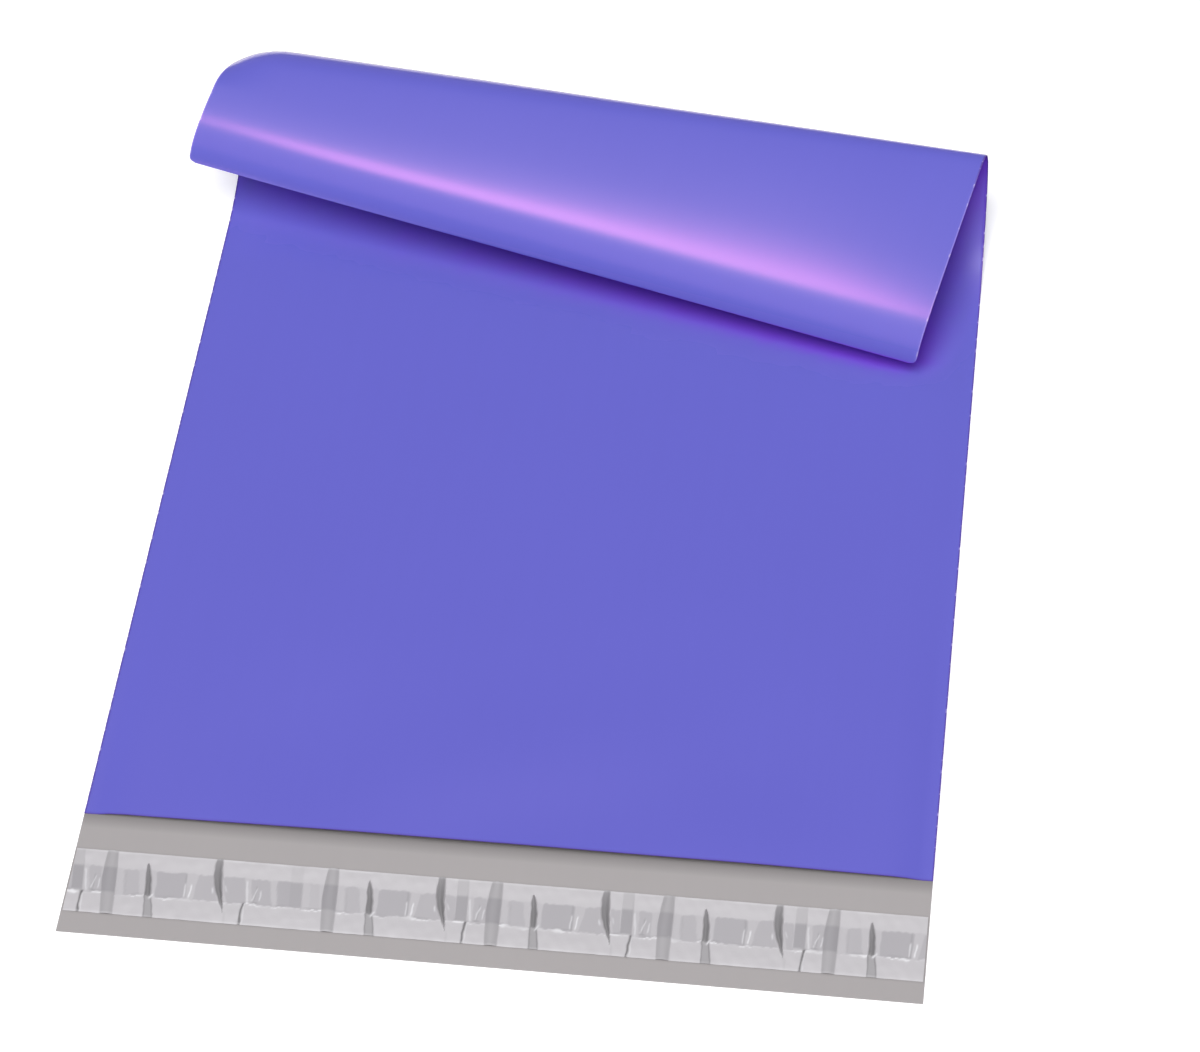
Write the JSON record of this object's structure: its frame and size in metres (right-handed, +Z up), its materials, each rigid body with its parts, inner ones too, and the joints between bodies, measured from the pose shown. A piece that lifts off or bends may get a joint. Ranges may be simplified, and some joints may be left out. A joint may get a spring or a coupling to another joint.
{
  "type": "poly mailer bag",
  "caption": "Flat plastic mailing bag with welded sides, an open mouth, a flap with an adhesive strip under a crinkled release liner, and its closed end curled over.",
  "frame": {"origin": "on the table under the middle of the mouth edge, in the outer face of the back wall", "axes": "+X across the bag, +Y from the flap towards the closed end, +Z up from the table; the curl lies at the +Y end"},
  "size_m": [0.2622, 0.3248, 0.0346],
  "materials": {
    "film": "satin co-extruded polyethylene film, violet outside and warm grey inside",
    "adhesive": "clear hot-melt strip, glossy where the liner has lifted",
    "liner": "thin milky release film, creased across"
  },
  "bodies": {
    "root": {"film_bag": "film", "adhesive_strip": "adhesive", "release_liner": "liner"}
  },
  "joints": []
}
